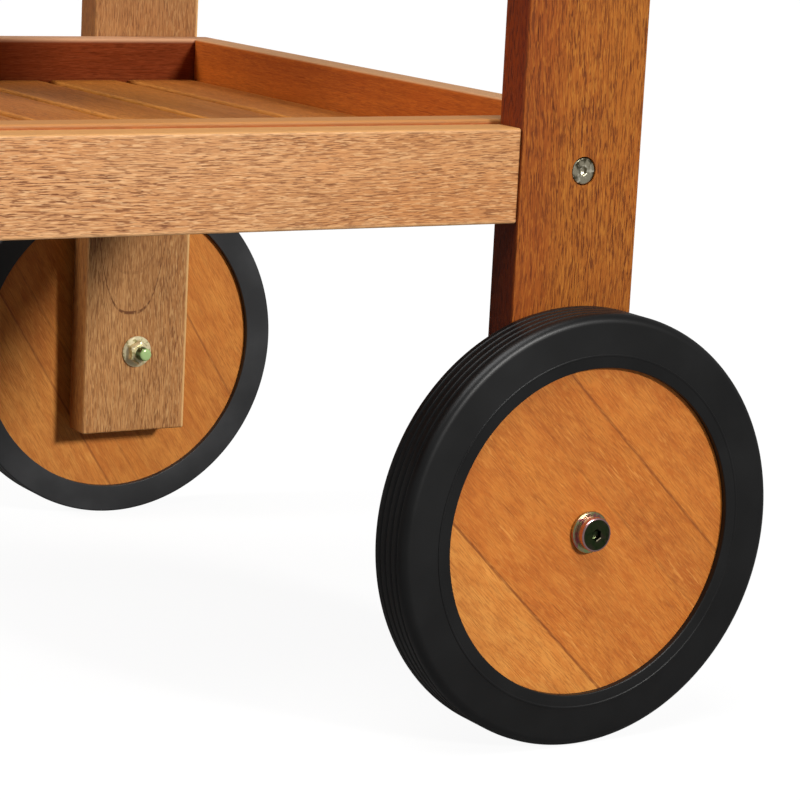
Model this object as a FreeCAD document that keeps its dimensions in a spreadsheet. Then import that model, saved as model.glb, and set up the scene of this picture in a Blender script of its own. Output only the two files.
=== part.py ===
"""Two-tier garden serving cart in oiled hardwood, built as separate pieces.

Millimetres, +X towards the wheels, +Y across the cart, +Z up. The origin is on the
floor, halfway along the overall length and halfway across the width.

Four flat legs stand outside two slatted trays. Rails butt between the legs of a side on
dowels, and connector bolts clamp each tray's side boards to the legs. The legs at +X stop
short of the floor and carry a wheel each on a bolt, the legs at -X reach the floor on
glides. The upper side boards run on past the -X legs and hold the push bar.
"""
import FreeCAD, Part
import math
import os
from types import SimpleNamespace

import Sketcher

DRIVING = {
    # overall
    "frame_len": 581.0,
    "frame_wid": 486.0,
    "cart_height": 780.0,
    "handle_reach": 160.0,
    # legs and rails
    "leg_face": 70.0,
    "leg_stock": 20.5,
    "leg_crown": 8.0,
    "leg_top_gap": 10.0,
    "edge_ease": 1.3,
    "rail_high": 45.5,
    "rail_stock": 19.0,
    "rail_back_gap": 0.8,
    "lower_rail_top": 301.0,
    # trays
    "board_stock": 17.0,
    "board_high": 47.5,
    "rim_step": 2.2,
    "tray_overhang": 6.0,
    "slat_count": 11,
    "slat_stock": 12.0,
    "slat_depth": 24.5,
    "slat_gap": 8.0,
    "slat_end_gap": 2.0,
    "slat_side_gap": 1.0,
    "cleat_wide": 15.0,
    "cleat_high": 12.0,
    # dowels and screws
    "dowel_dia": 8.0,
    "dowel_ease": 0.8,
    "dowel_len": 30.0,
    "dowel_in_board": 10.0,
    "dowel_spread": 22.0,
    "dowel_end_room": 0.5,
    "drill_room": 0.1,
    "screw_dia": 3.5,
    "screw_head_dia": 7.0,
    "screw_head_high": 2.2,
    "screw_in_slat": 8.0,
    # connector bolts and insert nuts
    "joint_bolt_dia": 6.0,
    "joint_head_dia": 13.0,
    "joint_head_high": 2.6,
    "joint_head_sunk": 0.2,
    "joint_pocket_dia": 14.0,
    "joint_hole_room": 0.6,
    "joint_head_bevel": 0.9,
    "joint_out": 1.7,
    "joint_rise": 1.8,
    "joint_socket": 4.0,
    "joint_socket_deep": 1.9,
    "insert_dia": 10.0,
    "insert_len": 13.0,
    # push bar and glides
    "bar_dia": 26.0,
    "bar_tenon_dia": 18.0,
    "bar_tenon_len": 11.0,
    "bar_from_end": 24.0,
    "handle_round": 20.0,
    "glide_dia": 16.0,
    "glide_high": 4.0,
    "glide_pin_dia": 4.0,
    "glide_pin_len": 12.0,
    "glide_spread": 40.0,
    "glide_ease": 1.0,
    # wheels
    "wheel_dia": 215.0,
    "tyre_wide": 26.0,
    "tyre_wall": 16.5,
    "tyre_lip": 9.7,
    "band_wide": 6.7,
    "band_step": 0.35,
    "tyre_shoulder": 3.5,
    "tyre_heel": 1.3,
    "tread_pitch": 5.3,
    "tread_deep": 1.6,
    "tread_wide": 1.7,
    "tread_land": 0.1,
    "wheel_gap": 2.5,
    "disc_recess": 3.5,
    "axle_drop": 50.8,
    # axle hardware
    "axle_dia": 8.0,
    "axle_head_dia": 17.0,
    "axle_head_high": 5.0,
    "axle_head_bevel": 0.8,
    "axle_socket": 5.0,
    "axle_socket_deep": 3.0,
    "axle_stub": 6.0,
    "thread_pitch": 1.25,
    "bush_dia": 12.0,
    "bush_room": 0.05,
    "side_play": 0.3,
    "washer_dia": 21.0,
    "washer_thick": 2.0,
    "washer_ease": 0.6,
    "washer_room": 0.3,
    "spacer_dia": 20.0,
    "nut_flats": 13.0,
    "nut_high": 8.0,
    "nut_flange_dia": 19.5,
    "nut_flange_high": 1.6,
    "nut_flange_rise": 1.0,
    "nut_crown": 0.9,
}

NEAR, FAR = -1, 1
HANDLE_END, WHEEL_END = -1, 1
SIDE_NAME = {NEAR: "near", FAR: "far"}
END_NAME = {HANDLE_END: "handle", WHEEL_END: "wheel"}
THREAD_CRESTS = 10
STAVE_EDGES = (-48.0, -15.0, 17.0, 48.0)
STAVE_TURN = {NEAR: 45.0, FAR: -32.0}

X_AXIS = FreeCAD.Vector(1, 0, 0)
Y_AXIS = FreeCAD.Vector(0, 1, 0)
Z_AXIS = FreeCAD.Vector(0, 0, 1)


class Size:
    """A dimension that keeps its expression on the sheet together with its value."""

    def __init__(self, text, value):
        self.text = text
        self.value = value

    def joined(self, sign, other, value):
        return Size("(%s %s %s)" % (self.text, sign, other.text), value)

    def __add__(self, other):
        other = as_size(other)
        return self.joined("+", other, self.value + other.value)

    def __sub__(self, other):
        other = as_size(other)
        return self.joined("-", other, self.value - other.value)

    def __mul__(self, other):
        other = as_size(other)
        return self.joined("*", other, self.value * other.value)

    def __truediv__(self, other):
        other = as_size(other)
        return self.joined("/", other, self.value / other.value)

    def __rsub__(self, other):
        return as_size(other) - self

    def __neg__(self):
        return as_size(0) - self

    __radd__ = __add__
    __rmul__ = __mul__


def as_size(number):
    """Turn a bare number into a Size, and leave a Size alone."""
    if isinstance(number, Size):
        return number
    return Size("%.6f" % number, float(number))


doc = FreeCAD.newDocument("garden_cart")
nodes = []


def make_sheet():
    """Write the driving dimensions to the sheet and return them as Sizes."""
    sheet = doc.addObject("Spreadsheet::Sheet", "Sizes")
    for row, (name, value) in enumerate(DRIVING.items(), start=1):
        sheet.set("A%d" % row, name)
        sheet.set("B%d" % row, str(value))
        sheet.setAlias("B%d" % row, name)
    doc.recompute()
    return SimpleNamespace(**{name: Size("Sizes." + name, value) for name, value in DRIVING.items()})


S = make_sheet()

MID_X = (S.handle_reach - (S.wheel_dia / 2 - S.leg_face / 2)) / 2
AXLE_Z = S.wheel_dia / 2
TRAY_LEN = S.frame_len + 2 * S.tray_overhang
TRAY_INSIDE_LEN = TRAY_LEN - 2 * S.board_stock
TRAY_INSIDE_WID = S.frame_wid - 2 * S.leg_stock - 2 * S.board_stock
SLAT_PITCH = (TRAY_INSIDE_LEN - 2 * S.slat_end_gap + S.slat_gap) / S.slat_count
SLAT_WIDE = SLAT_PITCH - S.slat_gap
CLEAT_Y = TRAY_INSIDE_WID / 2 - S.cleat_wide / 2
RAIL_TOP = {"lower": S.lower_rail_top, "upper": S.cart_height - S.leg_top_gap}
DISC_INNER = S.wheel_gap + S.disc_recess
DISC_OUTER = S.wheel_gap + S.tyre_wide - S.disc_recess
DISC_RADIUS = S.wheel_dia / 2 - S.tyre_wall
HOLE_RADIUS = S.dowel_dia / 2 + S.drill_room / 2
PILOT_RADIUS = S.screw_dia / 2 + S.drill_room


def leg_x(end):
    return MID_X + end * (S.frame_len / 2 - S.leg_face / 2)


def leg_y(side):
    return side * (S.frame_wid / 2 - S.leg_stock / 2)


def board_y(side):
    return side * (S.frame_wid / 2 - S.leg_stock - S.board_stock / 2)


def rail_y(side):
    return side * (S.frame_wid / 2 - S.leg_stock + S.rail_back_gap + S.rail_stock / 2)


def rail_mid(tier):
    return RAIL_TOP[tier] - S.rail_high / 2


def joint_x(end):
    """The connector bolts stand a little outside the middle of the leg."""
    return leg_x(end) + end * S.joint_out


def joint_z(tier):
    return rail_mid(tier) + S.joint_rise


def board_bottom(tier):
    return RAIL_TOP[tier] + S.rim_step - S.board_high


def slat_bottom(tier):
    return RAIL_TOP[tier] + S.rim_step - S.slat_depth - S.slat_stock


def slat_x(index):
    """Middle of a slat, measured from the tray's middle."""
    return SLAT_PITCH * (index - (DRIVING["slat_count"] - 1) / 2)


def bind(thing, path, size):
    """Tie one property of an object to an expression."""
    thing.setExpression(path, as_size(size).text)


def bind_place(thing, at):
    for letter, size in zip("xyz", at):
        bind(thing, "Placement.Base." + letter, size)


def new_body(label, at, turn=FreeCAD.Rotation(), node=True):
    """Start a piece whose own frame stands at a point of the cart."""
    body = doc.addObject("PartDesign::Body", label)
    body.Label = label
    body.Placement = FreeCAD.Placement(FreeCAD.Vector(0, 0, 0), turn)
    bind_place(body, at)
    if node:
        nodes.append(body)
    return body


def origin_plane(body, role):
    return next(item for item in body.Origin.OriginFeatures if item.Role == role)


def outline(body, name, plane, corners):
    """Closed outline of straight lines, each corner held at its own two coordinates."""
    sketch = body.newObject("Sketcher::SketchObject", name)
    sketch.AttachmentSupport = [(origin_plane(body, plane), "")]
    sketch.MapMode = "FlatFace"
    corners = [(as_size(across), as_size(along)) for across, along in corners]
    points = [FreeCAD.Vector(across.value, along.value, 0) for across, along in corners]
    for start, end in zip(points, points[1:] + points[:1]):
        sketch.addGeometry(Part.LineSegment(start, end))
    for index in range(len(points)):
        follower = (index + 1) % len(points)
        sketch.addConstraint(Sketcher.Constraint("Coincident", index, 2, follower, 1))
    for index, corner in enumerate(corners):
        for kind, size in zip(("DistanceX", "DistanceY"), corner):
            place = sketch.addConstraint(Sketcher.Constraint(kind, index, 1, size.value))
            sketch.setExpression("Constraints[%d]" % place, size.text)
    return sketch


def pad(body, sketch, length):
    feature = body.newObject("PartDesign::Pad", "Pad")
    feature.Profile = sketch
    bind(feature, "Length", length)
    sketch.Visibility = False
    return feature


def turned(body, name, corners, kind="PartDesign::Revolution"):
    """Turn an outline of (radius, height) corners about the piece's own Z axis."""
    sketch = outline(body, name + "_outline", "XZ_Plane", corners)
    feature = body.newObject(kind, name)
    feature.Profile = sketch
    feature.ReferenceAxis = (sketch, ["V_Axis"])
    feature.Angle = 360
    return feature


def ease(body, radius, chosen=lambda edge: True):
    """Round the chosen edges of the piece as it stands."""
    doc.recompute()
    base = body.Tip
    names = ["Edge%d" % (place + 1) for place, edge in enumerate(base.Shape.Edges) if chosen(edge)]
    feature = body.newObject("PartDesign::Fillet", "Eased")
    feature.Base = (base, names)
    bind(feature, "Radius", radius)
    return feature


def cut_round(body, name, radius, length, at, along=Z_AXIS, top_radius=None):
    """Cut a round hole, or a countersink, from a point along a direction."""
    kind = "PartDesign::SubtractiveCylinder" if top_radius is None else "PartDesign::SubtractiveCone"
    feature = body.newObject(kind, name)
    feature.Placement = FreeCAD.Placement(FreeCAD.Vector(0, 0, 0), FreeCAD.Rotation(Z_AXIS, along))
    bind_place(feature, at)
    bind(feature, "Height", length)
    if top_radius is None:
        bind(feature, "Radius", radius)
    else:
        bind(feature, "Radius1", radius)
        bind(feature, "Radius2", top_radius)
    return feature


def cut_socket(body, flats, depth, top):
    """Cut a hexagon socket down from a height on the piece's own Z axis."""
    feature = body.newObject("PartDesign::SubtractivePrism", "Socket")
    feature.Polygon = 6
    bind(feature, "Circumradius", flats / math.sqrt(3))
    bind(feature, "Height", depth)
    bind_place(feature, (0, 0, top - depth))
    return feature


def plank(label, lengths, at, corner_radius=None, corners=None):
    """A rectangular board with eased edges, its frame at the middle of its underside."""
    body = new_body(label, at)
    half_x, half_y = lengths[0] / 2, lengths[1] / 2
    rectangle = [(-half_x, -half_y), (half_x, -half_y), (half_x, half_y), (-half_x, half_y)]
    pad(body, outline(body, "Section", "XY_Plane", rectangle), lengths[2])
    if corner_radius is not None:
        ease(body, corner_radius, corners)
    ease(body, S.edge_ease)
    return body


def runs_across(edge):
    """True for a straight edge that lies along Y."""
    ends = [vertex.Point for vertex in edge.Vertexes]
    return len(ends) == 2 and abs(abs((ends[1] - ends[0]).normalize().y) - 1) < 1e-6


# ---------------------------------------------------------------- legs and rails

def cut_joint_hole(body, end, side, height):
    """Bolt hole with a pocket for the head in the leg's outer face."""
    inward = Y_AXIS * -side
    outer = side * S.leg_stock / 2
    bolt_radius = S.joint_bolt_dia / 2 + S.joint_hole_room / 2
    pocket_deep = S.joint_head_high + S.joint_head_sunk
    at = (end * S.joint_out, outer, height)
    cut_round(body, "BoltHole", bolt_radius, S.leg_stock, at, inward)
    cut_round(body, "BoltPocket", S.joint_pocket_dia / 2, pocket_deep, at, inward)


def cut_rail_dowel_holes(body, end, side, height):
    """Two dowel holes in the leg's narrow face that meets a rail."""
    depth = S.dowel_len / 2 + S.dowel_end_room
    offset = rail_y(side) - leg_y(side)
    for step in (-1, 1):
        at = (-end * S.leg_face / 2, offset, height + step * S.dowel_spread / 2)
        cut_round(body, "DowelHole", HOLE_RADIUS, depth, at, X_AXIS * end)


def make_leg(end, side):
    """A flat leg: crowned top corners, bolt holes for both trays, dowel holes for both rails."""
    bottom = AXLE_Z - S.axle_drop if end == WHEEL_END else S.glide_high
    kind = "wheel" if end == WHEEL_END else "foot"
    high = S.cart_height - bottom
    label = "leg_%s_%s" % (kind, SIDE_NAME[side])
    lengths = (S.leg_face, S.leg_stock, high)
    top_corner = lambda edge: runs_across(edge) and edge.BoundBox.ZMin > high.value - 1
    body = plank(label, lengths, (leg_x(end), leg_y(side), bottom), S.leg_crown, top_corner)
    for tier in RAIL_TOP:
        cut_joint_hole(body, end, side, joint_z(tier) - bottom)
        cut_rail_dowel_holes(body, end, side, rail_mid(tier) - bottom)
    if end == WHEEL_END:
        at = (0, -S.leg_stock / 2, S.axle_drop)
        cut_round(body, "AxleHole", S.axle_dia / 2 + S.washer_room / 2, S.leg_stock, at, Y_AXIS)
    else:
        for step in (-1, 1):
            at = (step * S.glide_spread / 2, 0, 0)
            depth = S.glide_pin_len + S.dowel_end_room
            cut_round(body, "GlideHole", S.glide_pin_dia / 2 + S.drill_room / 2, depth, at)


def make_rail(tier, side):
    """A rail that butts between the two legs of one side."""
    length = S.frame_len - 2 * S.leg_face
    at = (MID_X, rail_y(side), RAIL_TOP[tier] - S.rail_high)
    label = "%s_rail_%s" % (tier, SIDE_NAME[side])
    body = plank(label, (length, S.rail_stock, S.rail_high), at)
    depth = S.dowel_len / 2 + S.dowel_end_room
    for end in (HANDLE_END, WHEEL_END):
        for step in (-1, 1):
            spot = (end * length / 2, 0, S.rail_high / 2 + step * S.dowel_spread / 2)
            cut_round(body, "DowelHole", HOLE_RADIUS, depth, spot, X_AXIS * -end)


# ---------------------------------------------------------------- trays

def make_side_board(tier, side):
    """A tray side. The upper ones run on beyond the legs and hold the push bar."""
    reach = S.handle_reach - S.tray_overhang if tier == "upper" else as_size(0)
    length = TRAY_LEN + reach
    middle = MID_X - reach / 2
    at = (middle, board_y(side), board_bottom(tier))
    label = "%s_side_board_%s" % (tier, SIDE_NAME[side])
    lengths = (length, S.board_stock, S.board_high)
    if tier == "upper":
        handle_end = lambda edge: runs_across(edge) and edge.BoundBox.XMax < 1 - length.value / 2
        body = plank(label, lengths, at, S.handle_round, handle_end)
    else:
        body = plank(label, lengths, at)
    outer = side * S.board_stock / 2
    for end in (HANDLE_END, WHEEL_END):
        insert_at = (joint_x(end) - middle, outer, joint_z(tier) - board_bottom(tier))
        insert_deep = S.insert_len + S.dowel_end_room
        cut_round(body, "InsertHole", S.insert_dia / 2, insert_deep, insert_at, Y_AXIS * -side)
        for step in (-1, 1):
            corner_x = end * (TRAY_LEN / 2 - S.board_stock / 2) + reach / 2
            dowel_at = (corner_x, -outer, S.board_high / 2 + step * S.dowel_spread / 2)
            depth = S.dowel_in_board + S.dowel_end_room
            cut_round(body, "DowelHole", HOLE_RADIUS, depth, dowel_at, Y_AXIS * side)
    if tier == "upper":
        bar_at = (S.bar_from_end - length / 2, -outer, S.board_high / 2)
        depth = S.bar_tenon_len + S.dowel_end_room
        cut_round(body, "BarHole", S.bar_tenon_dia / 2 + S.drill_room / 2, depth, bar_at, Y_AXIS * side)


def make_end_board(tier, end):
    """A tray end, dowelled between the side boards."""
    middle = MID_X + end * (TRAY_LEN / 2 - S.board_stock / 2)
    label = "%s_end_board_%s" % (tier, END_NAME[end])
    lengths = (S.board_stock, TRAY_INSIDE_WID, S.board_high)
    body = plank(label, lengths, (middle, 0, board_bottom(tier)))
    depth = S.dowel_len - S.dowel_in_board + S.dowel_end_room
    for side in (NEAR, FAR):
        for step in (-1, 1):
            spot = (0, side * TRAY_INSIDE_WID / 2, S.board_high / 2 + step * S.dowel_spread / 2)
            cut_round(body, "DowelHole", HOLE_RADIUS, depth, spot, Y_AXIS * -side)


def make_cleat(tier, side):
    """The batten that the slats lie on, with a countersunk hole under each slat."""
    length = TRAY_INSIDE_LEN - 2 * S.slat_end_gap
    at = (MID_X, side * CLEAT_Y, slat_bottom(tier) - S.cleat_high)
    label = "%s_cleat_%s" % (tier, SIDE_NAME[side])
    body = plank(label, (length, S.cleat_wide, S.cleat_high), at)
    first = slat_x(0)
    hole = cut_round(body, "ScrewHole", PILOT_RADIUS, S.cleat_high, (first, 0, 0))
    head_radius = S.screw_head_dia / 2 + S.drill_room
    sink = cut_round(body, "Countersink", head_radius, S.screw_head_high, (first, 0, 0), Z_AXIS, PILOT_RADIUS)
    doc.recompute()
    pattern = body.newObject("PartDesign::LinearPattern", "ScrewHoles")
    pattern.Originals = [hole, sink]
    pattern.Direction = (origin_plane(body, "X_Axis"), [""])
    bind(pattern, "Length", SLAT_PITCH * (S.slat_count - 1))
    bind(pattern, "Occurrences", S.slat_count)
    body.Tip = pattern


def make_slat(tier, index):
    """One slat across the tray, with two blind pilot holes in its underside."""
    label = "%s_slat_%02d" % (tier, index + 1)
    lengths = (SLAT_WIDE, TRAY_INSIDE_WID - 2 * S.slat_side_gap, S.slat_stock)
    body = plank(label, lengths, (MID_X + slat_x(index), 0, slat_bottom(tier)))
    for side in (NEAR, FAR):
        depth = S.screw_in_slat + S.dowel_end_room
        cut_round(body, "PilotHole", PILOT_RADIUS, depth, (0, side * CLEAT_Y, 0))


# ---------------------------------------------------------------- push bar

def make_handle_bar():
    """A round bar with a turned tenon at each end."""
    turn = FreeCAD.Rotation(X_AXIS, 90)
    bar_x = MID_X - S.frame_len / 2 - S.handle_reach + S.bar_from_end
    body = new_body("handle_bar", (bar_x, 0, board_bottom("upper") + S.board_high / 2), turn)
    half = TRAY_INSIDE_WID / 2
    tip = half + S.bar_tenon_len
    thick, thin = S.bar_dia / 2, S.bar_tenon_dia / 2
    turned(body, "Bar", [(0, -tip), (thin, -tip), (thin, -half), (thick, -half),
                         (thick, half), (thin, half), (thin, tip), (0, tip)])
    shoulder = lambda edge: abs(edge.BoundBox.XMax - thick.value) < 0.01 and len(edge.Vertexes) == 1
    ease(body, S.edge_ease, shoulder)


# ---------------------------------------------------------------- fasteners in groups

def group(label, master, placements):
    """One node that holds a copy of a fastener at every place it is used."""
    copies = []
    for placement in placements:
        copy = master.Shape.copy()
        copy.Placement = placement
        copies.append(copy)
    feature = doc.addObject("Part::Feature", label)
    feature.Label = label
    feature.Shape = Part.makeCompound(copies)
    feature.Placement = FreeCAD.Placement()
    nodes.append(feature)


def place(x, y, z, along=Z_AXIS):
    """Placement with the piece's own Z axis turned along a direction."""
    spot = FreeCAD.Vector(*(as_size(size).value for size in (x, y, z)))
    return FreeCAD.Placement(spot, FreeCAD.Rotation(Z_AXIS, along))


def make_dowels():
    """Fluteless dowels at every rail end and every tray corner."""
    dowel = new_body("dowel_master", (0, 0, 0), node=False)
    radius = S.dowel_dia / 2
    turned(dowel, "Dowel", [(0, 0), (radius, 0), (radius, S.dowel_len), (0, S.dowel_len)])
    ease(dowel, S.dowel_ease, lambda edge: len(edge.Vertexes) == 1)
    doc.recompute()
    spots = []
    for tier in RAIL_TOP:
        for side in (NEAR, FAR):
            for end in (HANDLE_END, WHEEL_END):
                for step in (-1, 1):
                    rise = step * S.dowel_spread / 2
                    rail_end = MID_X + end * (S.frame_len / 2 - S.leg_face - S.dowel_len / 2)
                    spots.append(place(rail_end, rail_y(side), rail_mid(tier) + rise, X_AXIS * end))
                    corner_x = MID_X + end * (TRAY_LEN / 2 - S.board_stock / 2)
                    corner_y = side * (TRAY_INSIDE_WID / 2 + S.dowel_in_board)
                    corner_z = board_bottom(tier) + S.board_high / 2 + rise
                    spots.append(place(corner_x, corner_y, corner_z, Y_AXIS * -side))
    group("wood_dowels", dowel, spots)


def make_slat_screws():
    """Countersunk screws up through the cleats into the slats."""
    screw = new_body("slat_screw_master", (0, 0, 0), node=False)
    head, shank = S.screw_head_dia / 2, S.screw_dia / 2
    tip = S.cleat_high + S.screw_in_slat
    turned(screw, "Screw", [(0, 0), (head, 0), (shank, S.screw_head_high),
                            (shank, tip - S.screw_dia), (0, tip)])
    doc.recompute()
    spots = []
    for tier in RAIL_TOP:
        for side in (NEAR, FAR):
            for index in range(DRIVING["slat_count"]):
                level = slat_bottom(tier) - S.cleat_high
                spots.append(place(MID_X + slat_x(index), side * CLEAT_Y, level))
    group("slat_screws", screw, spots)


def joint_spots(depth):
    """Places on the connector bolts' axes, at a depth under the leg's outer face."""
    spots = []
    for tier in RAIL_TOP:
        for side in (NEAR, FAR):
            for end in (HANDLE_END, WHEEL_END):
                y = side * (S.frame_wid / 2 - depth)
                spots.append(place(joint_x(end), y, joint_z(tier), Y_AXIS * side))
    return spots


def make_joint_bolts():
    """Flat-headed connector bolts, sunk in the legs and screwed into the side boards."""
    bolt = new_body("joint_bolt_master", (0, 0, 0), node=False)
    head, shank = S.joint_head_dia / 2, S.joint_bolt_dia / 2
    chamfer = S.joint_head_bevel
    grip = S.leg_stock - S.joint_head_high - S.joint_head_sunk + S.insert_len - S.joint_head_sunk
    top = S.joint_head_high
    turned(bolt, "Bolt", [(0, -grip), (shank, -grip), (shank, 0), (head, 0),
                          (head, top - chamfer), (head - chamfer, top), (0, top)])
    cut_socket(bolt, S.joint_socket, S.joint_socket_deep, top)
    doc.recompute()
    group("joint_bolts", bolt, joint_spots(S.joint_head_high + S.joint_head_sunk))


def make_insert_nuts():
    """Threaded sleeves set in the side boards' outer faces."""
    insert = new_body("insert_nut_master", (0, 0, 0), node=False)
    outer, bore = S.insert_dia / 2, S.joint_bolt_dia / 2 + S.drill_room / 2
    turned(insert, "Sleeve", [(bore, -S.insert_len), (outer, -S.insert_len), (outer, 0), (bore, 0)])
    doc.recompute()
    group("insert_nuts", insert, joint_spots(S.leg_stock))


def make_glides():
    """Round plastic glides pressed into the underside of the foot legs."""
    glide = new_body("glide_master", (0, 0, 0), node=False)
    wide, pin = S.glide_dia / 2, S.glide_pin_dia / 2
    high, top = S.glide_high, S.glide_high + S.glide_pin_len
    turned(glide, "Glide", [(0, 0), (wide, 0), (wide, high), (pin, high), (pin, top), (0, top)])
    ease(glide, S.glide_ease, lambda edge: edge.BoundBox.ZMax < 0.01 and len(edge.Vertexes) == 1)
    doc.recompute()
    spots = []
    for side in (NEAR, FAR):
        for step in (-1, 1):
            spots.append(place(leg_x(HANDLE_END) + step * S.glide_spread / 2, leg_y(side), 0))
    group("foot_glides", glide, spots)


# ---------------------------------------------------------------- wheels

def wheel_turn(side):
    """Turn that points a wheel's own Z axis away from the cart."""
    return FreeCAD.Rotation(X_AXIS, -90 * side)


def wheel_spot(side):
    """The axle's crossing with the leg's outer face."""
    return (leg_x(WHEEL_END), side * S.frame_wid / 2, AXLE_Z)


def tread_corners():
    """Tread from the outer shoulder to the inner edge, with as many V grooves as fit beside it."""
    corners = []
    radius = S.wheel_dia / 2
    room = S.tyre_wide - S.band_step - S.tyre_shoulder - S.tread_land - S.tread_wide / 2
    grooves = int((room / S.tread_pitch).value)
    for groove in reversed(range(1, grooves + 1)):
        level = S.wheel_gap + groove * S.tread_pitch
        corners.append((radius, level + S.tread_wide / 2))
        corners.append((radius - S.tread_deep, level))
        corners.append((radius, level - S.tread_wide / 2))
    return corners


def make_tyre(side):
    """Solid tyre: ribbed tread, rounded shoulder, and a lip over the disc's outer face."""
    body = new_body("tyre_" + SIDE_NAME[side], wheel_spot(side), wheel_turn(side))
    radius = S.wheel_dia / 2
    inner, outer = S.wheel_gap, S.wheel_gap + S.tyre_wide
    wall = outer - S.band_step
    lip = DISC_RADIUS - S.tyre_lip
    band = lip + S.band_wide
    corners = [(DISC_RADIUS, inner), (DISC_RADIUS, DISC_OUTER), (lip, DISC_OUTER), (lip, outer),
               (band, outer), (band, wall), (radius, wall)]
    corners += tread_corners()
    corners.append((radius, inner))
    turned(body, "Tyre", corners)
    rim = lambda level: lambda edge: (abs(edge.BoundBox.XMax - radius.value) < 0.01
                                      and abs(edge.BoundBox.ZMax - level.value) < 0.01
                                      and edge.BoundBox.ZLength < 0.01)
    ease(body, S.tyre_shoulder, rim(wall))
    ease(body, S.tyre_heel, rim(inner))


def make_stave(name, turn, low, high, thick):
    """One stave of a disc: the part of a round blank between two lines."""
    blank = doc.addObject("Part::Cylinder", name + "_blank")
    bind(blank, "Radius", DISC_RADIUS)
    bind(blank, "Height", thick)
    strip = doc.addObject("Part::Box", name + "_strip")
    bind(strip, "Length", high - low)
    bind(strip, "Width", 2 * DISC_RADIUS)
    bind(strip, "Height", thick)
    strip.Placement = FreeCAD.Placement(FreeCAD.Vector(0, 0, 0), FreeCAD.Rotation(Z_AXIS, turn))
    cosine, sine = math.cos(math.radians(turn)), math.sin(math.radians(turn))
    bind_place(strip, (low * cosine + DISC_RADIUS * sine, low * sine - DISC_RADIUS * cosine, 0))
    stave = doc.addObject("Part::Common", name)
    stave.Base, stave.Tool = blank, strip
    return stave


def make_disc(side):
    """Wooden disc glued up from parallel staves, with the bush bored through the middle one."""
    label = "wheel_disc_" + SIDE_NAME[side]
    thick = DISC_OUTER - DISC_INNER
    edges = [-DISC_RADIUS] + [as_size(edge) for edge in STAVE_EDGES] + [DISC_RADIUS]
    staves = []
    for index, (low, high) in enumerate(zip(edges, edges[1:]), start=1):
        stave = make_stave("%s_stave_%d" % (label, index), STAVE_TURN[side], low, high, thick)
        if low.value < 0 < high.value:
            bore = doc.addObject("Part::Cylinder", label + "_bore")
            bind(bore, "Radius", S.bush_dia / 2)
            bind(bore, "Height", thick)
            bored = doc.addObject("Part::Cut", label + "_middle_stave")
            bored.Base, bored.Tool = stave, bore
            stave = bored
        staves.append(stave)
    disc = doc.addObject("Part::Compound", label)
    disc.Label = label
    disc.Links = staves
    disc.Placement = FreeCAD.Placement(FreeCAD.Vector(0, 0, 0), wheel_turn(side))
    x, y, z = wheel_spot(side)
    bind_place(disc, (x, y + side * DISC_INNER, z))
    nodes.append(disc)


def make_bush(side):
    """Sleeve through the disc that turns on the axle bolt."""
    body = new_body("wheel_bush_" + SIDE_NAME[side], wheel_spot(side), wheel_turn(side))
    outer, bore = S.bush_dia / 2, S.axle_dia / 2 + S.bush_room
    turned(body, "Bush", [(bore, DISC_INNER), (outer, DISC_INNER), (outer, DISC_OUTER), (bore, DISC_OUTER)])


def wheel_places():
    placements = []
    for side in (NEAR, FAR):
        spot = FreeCAD.Vector(*(size.value for size in wheel_spot(side)))
        placements.append(FreeCAD.Placement(spot, wheel_turn(side)))
    return placements


def thread_corners(start):
    """Crests and roots of the bolt's thread as rings, up from the end of the bolt."""
    crest, root = S.axle_dia / 2, S.axle_dia / 2 - S.thread_pitch / 2
    corners = []
    for turn in range(THREAD_CRESTS):
        level = start + S.thread_pitch * turn
        corners.append((root, level))
        corners.append((crest, level + S.thread_pitch / 2))
    return corners


def make_axle_bolts():
    """Low socket-headed bolts that the wheels turn on, threaded at the inner end."""
    bolt = new_body("axle_bolt_master", (0, 0, 0), node=False)
    seat = DISC_OUTER + S.side_play + S.washer_thick
    end = -(S.leg_stock + S.nut_high + S.axle_stub)
    shank, head = S.axle_dia / 2, S.axle_head_dia / 2
    top, chamfer = seat + S.axle_head_high, S.axle_head_bevel
    corners = [(0, end)] + thread_corners(end)
    corners += [(shank, seat), (head, seat), (head, top - chamfer), (head - chamfer, top), (0, top)]
    turned(bolt, "Bolt", corners)
    cut_socket(bolt, S.axle_socket, S.axle_socket_deep, top)
    doc.recompute()
    group("axle_bolts", bolt, wheel_places())


def make_washers():
    """Outer washers under the bolt heads."""
    washer = new_body("washer_master", (0, 0, 0), node=False)
    outer, bore = S.washer_dia / 2, S.axle_dia / 2 + S.washer_room
    low = DISC_OUTER + S.side_play
    high = low + S.washer_thick
    turned(washer, "Washer", [(bore, low), (outer, low), (outer, high), (bore, high)])
    ease(washer, S.washer_ease, lambda edge: abs(edge.BoundBox.XMax - outer.value) < 0.01
         and edge.BoundBox.ZLength < 0.01)
    doc.recompute()
    group("axle_washers", washer, wheel_places())


def make_spacers():
    """Spacers that keep the wheels off the legs."""
    spacer = new_body("spacer_master", (0, 0, 0), node=False)
    outer, bore = S.spacer_dia / 2, S.axle_dia / 2 + S.washer_room
    high = DISC_INNER - S.side_play
    turned(spacer, "Spacer", [(bore, 0), (outer, 0), (outer, high), (bore, high)])
    doc.recompute()
    group("axle_spacers", spacer, wheel_places())


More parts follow.
